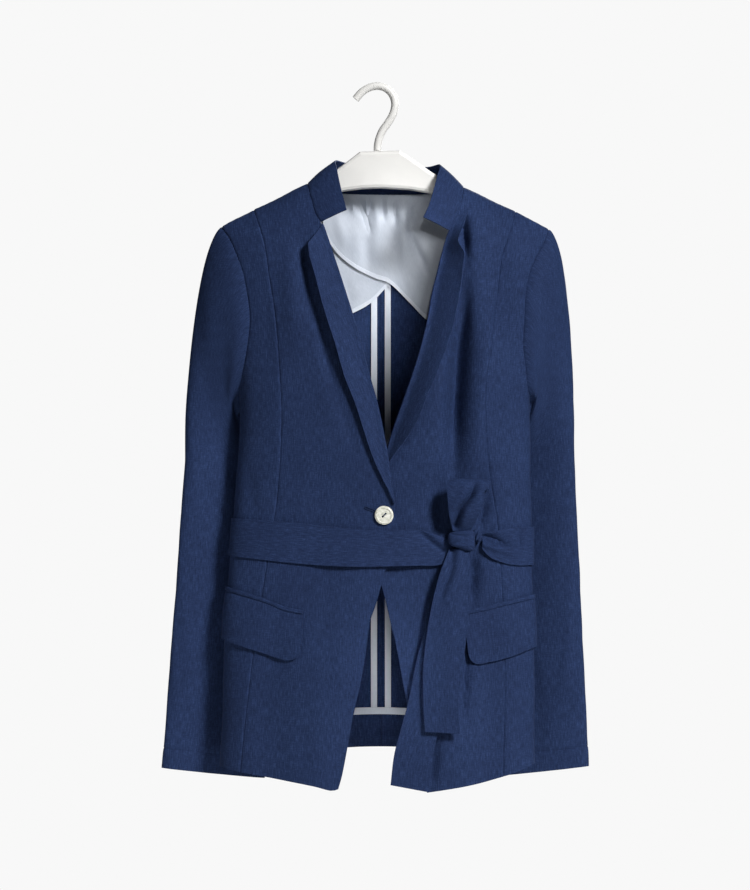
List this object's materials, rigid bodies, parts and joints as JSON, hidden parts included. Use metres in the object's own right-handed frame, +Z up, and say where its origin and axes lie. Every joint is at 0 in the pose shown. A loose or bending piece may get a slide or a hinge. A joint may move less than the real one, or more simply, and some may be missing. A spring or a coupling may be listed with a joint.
{
  "type": "blazer on a hanger",
  "caption": "Linen blazer with a stand collar, lapels, flap pockets and a waist belt tied in a bow, hanging on a plastic hanger.",
  "frame": {"origin": "the highest point inside the hanger's hook, where the rail carries it", "axes": "+Z up, the blazer's front faces -Y, +X to the viewer's right"},
  "size_m": [0.4941, 0.1402, 0.8151],
  "materials": {
    "linen": "navy plain-weave linen, matt, with small slubs",
    "lining": "pale grey satin, soft sheen",
    "tape": "pale grey satin binding",
    "hanger": "white, softly glossy",
    "button": "pale shell, polished"
  },
  "bodies": {
    "root": {"front_left": "linen", "front_right": "linen", "side_front_left": "linen", "side_front_right": "linen", "back_right": "linen", "back_left": "linen", "collar": "linen", "lapel_left": "linen", "lapel_right": "linen", "upper_sleeve_left": "linen", "under_sleeve_left": "linen", "upper_sleeve_right": "linen", "under_sleeve_right": "linen", "pocket_flap_left": "linen", "pocket_welt_left": "linen", "pocket_flap_right": "linen", "pocket_welt_right": "linen", "belt_front": "linen", "belt_side": "linen", "belt_back": "linen", "belt_knot": "linen", "belt_knot_fold": "linen", "belt_tail_front": "linen", "belt_tail_behind": "linen", "belt_loop": "linen", "lining_upper": "lining", "lining_lower": "lining", "seam_tape_left": "tape", "seam_tape_right": "tape", "hem_tape": "tape", "button": "button", "hanger_body": "hanger", "hanger_hook": "hanger"}
  },
  "joints": []
}
